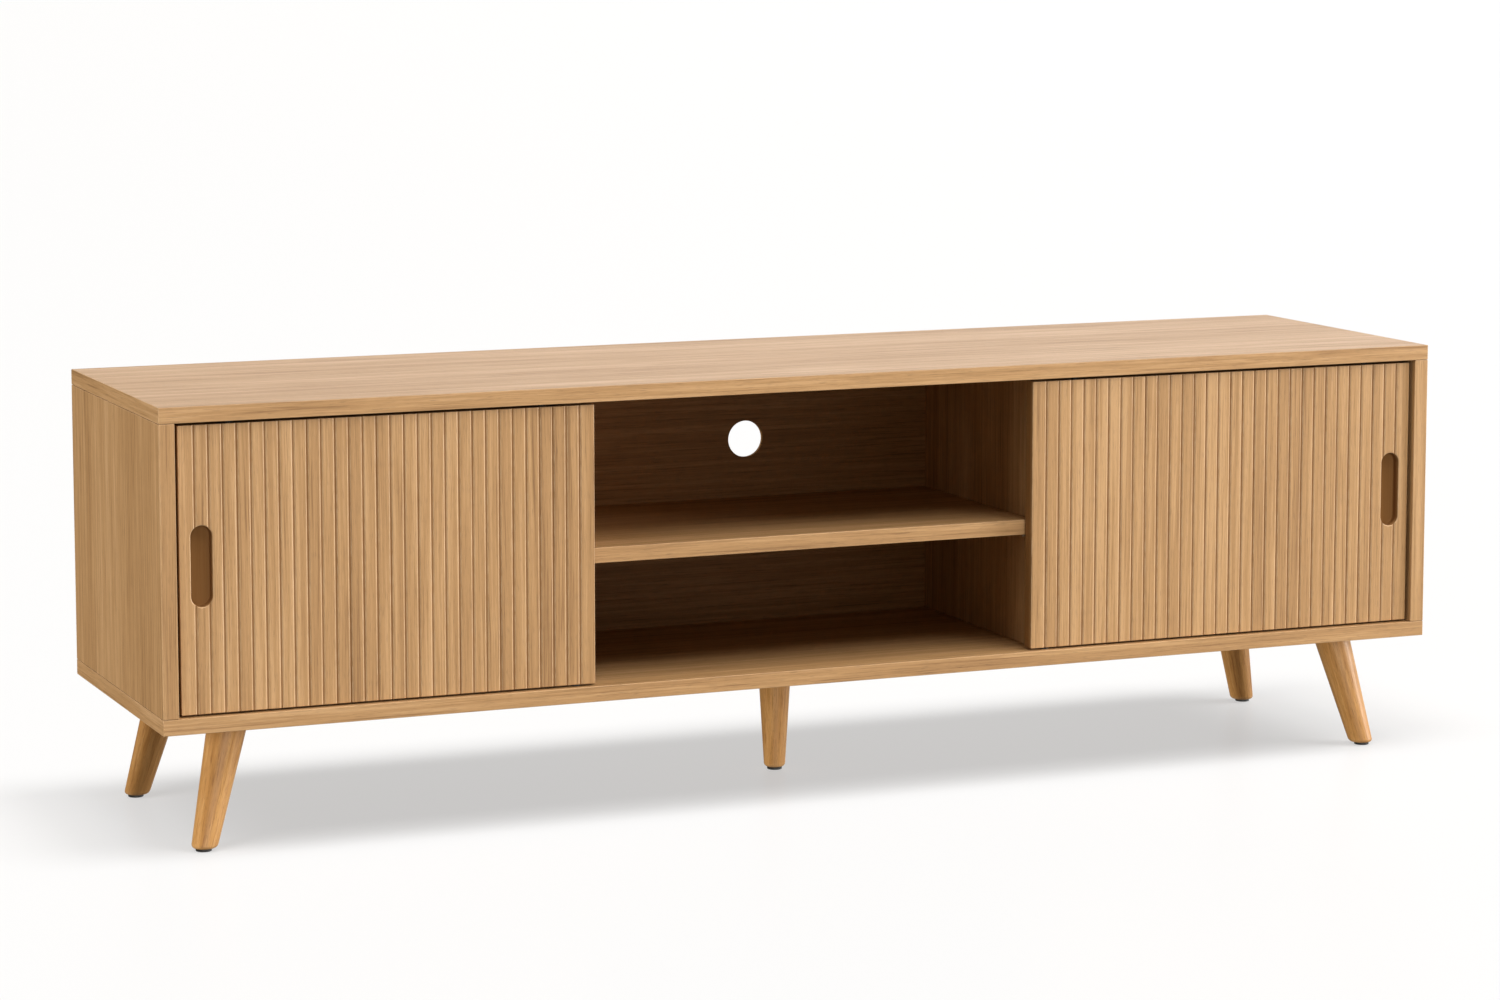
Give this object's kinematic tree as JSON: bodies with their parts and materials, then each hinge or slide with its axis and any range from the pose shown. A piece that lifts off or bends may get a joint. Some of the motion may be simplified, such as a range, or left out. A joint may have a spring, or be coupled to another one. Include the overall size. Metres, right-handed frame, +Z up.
{
  "type": "media cabinet",
  "caption": "Low oak media cabinet with fluted sliding doors, an open centre bay with a shelf, a cable hole and tapered splayed legs.",
  "frame": {"origin": "on the floor under the middle of the cabinet", "axes": "+X to the right along the length, -Y out of the front, +Z up"},
  "size_m": [1.6, 0.396, 0.504],
  "materials": {
    "oak_veneer": "satin lacquered oak veneer on board, grain along each panel",
    "oak_door": "satin lacquered oak, fluted upright",
    "solid_oak": "satin lacquered solid oak",
    "beech": "raw beech dowel",
    "aluminium": "satin anodised",
    "hanger_steel": "black zinc plated pressed steel",
    "pin_steel": "nickel plated turned steel",
    "bolt_steel": "zinc plated",
    "nylon": "natural nylon",
    "black_plastic": "matt black plastic"
  },
  "bodies": {
    "carcass": {"top_panel": "oak_veneer", "bottom_panel": "oak_veneer", "left_side_panel": "oak_veneer", "right_side_panel": "oak_veneer", "left_divider": "oak_veneer", "right_divider": "oak_veneer", "left_back_panel": "oak_veneer", "right_back_panel": "oak_veneer", "centre_back_panel": "oak_veneer", "centre_shelf": "oak_veneer", "left_bay_shelf": "oak_veneer", "right_bay_shelf": "oak_veneer", "centre_shelf_pin_left_front": "pin_steel", "centre_shelf_pin_left_rear": "pin_steel", "centre_shelf_pin_right_front": "pin_steel", "centre_shelf_pin_right_rear": "pin_steel", "left_bay_shelf_pin_left_front": "pin_steel", "left_bay_shelf_pin_left_rear": "pin_steel", "left_bay_shelf_pin_right_front": "pin_steel", "left_bay_shelf_pin_right_rear": "pin_steel", "right_bay_shelf_pin_left_front": "pin_steel", "right_bay_shelf_pin_left_rear": "pin_steel", "right_bay_shelf_pin_right_front": "pin_steel", "right_bay_shelf_pin_right_rear": "pin_steel", "top_left_front_dowel": "beech", "top_left_rear_dowel": "beech", "top_right_front_dowel": "beech", "top_right_rear_dowel": "beech", "bottom_left_front_dowel": "beech", "bottom_left_rear_dowel": "beech", "bottom_right_front_dowel": "beech", "bottom_right_rear_dowel": "beech", "front_left_leg": "solid_oak", "rear_left_leg": "solid_oak", "centre_leg": "solid_oak", "front_right_leg": "solid_oak", "rear_right_leg": "solid_oak", "front_left_glide": "black_plastic", "rear_left_glide": "black_plastic", "centre_glide": "black_plastic", "front_right_glide": "black_plastic", "rear_right_glide": "black_plastic", "front_left_leg_bolt": "bolt_steel", "rear_left_leg_bolt": "bolt_steel", "centre_leg_bolt": "bolt_steel", "front_right_leg_bolt": "bolt_steel", "rear_right_leg_bolt": "bolt_steel", "door_track": "aluminium", "left_door_guide": "black_plastic", "right_door_guide": "black_plastic"},
    "left_door": {"left_door": "oak_door", "left_door_left_hanger": "hanger_steel", "left_door_right_hanger": "hanger_steel"},
    "right_door": {"right_door": "oak_door", "right_door_left_hanger": "hanger_steel", "right_door_right_hanger": "hanger_steel"},
    "left_door_left_roller": {"left_door_left_roller": "nylon"},
    "left_door_right_roller": {"left_door_right_roller": "nylon"},
    "right_door_left_roller": {"right_door_left_roller": "nylon"},
    "right_door_right_roller": {"right_door_right_roller": "nylon"}
  },
  "joints": [
    {"name": "left_door_slide", "type": "slide", "parent": "carcass", "child": "left_door", "axis": [1, 0, 0], "range_m": [0, 0.276]},
    {"name": "right_door_slide", "type": "slide", "parent": "carcass", "child": "right_door", "axis": [-1, 0, 0], "range_m": [0, 0.276]},
    {"name": "left_door_left_roller_spin", "type": "hinge", "parent": "left_door", "child": "left_door_left_roller", "pos_m": [-0.7175, -0.183, 0.4915], "axis": [0, 1, 0], "continuous": true},
    {"name": "left_door_right_roller_spin", "type": "hinge", "parent": "left_door", "child": "left_door_right_roller", "pos_m": [-0.354, -0.183, 0.4915], "axis": [0, 1, 0], "continuous": true},
    {"name": "right_door_left_roller_spin", "type": "hinge", "parent": "right_door", "child": "right_door_left_roller", "pos_m": [0.32, -0.183, 0.4915], "axis": [0, -1, 0], "continuous": true},
    {"name": "right_door_right_roller_spin", "type": "hinge", "parent": "right_door", "child": "right_door_right_roller", "pos_m": [0.7175, -0.183, 0.4915], "axis": [0, -1, 0], "continuous": true}
  ],
  "couplings": [
    {"joint": "left_door_left_roller_spin", "follows": "left_door_slide", "rad_per_m": 250},
    {"joint": "left_door_right_roller_spin", "follows": "left_door_slide", "rad_per_m": 250},
    {"joint": "right_door_left_roller_spin", "follows": "right_door_slide", "rad_per_m": 250},
    {"joint": "right_door_right_roller_spin", "follows": "right_door_slide", "rad_per_m": 250}
  ]
}
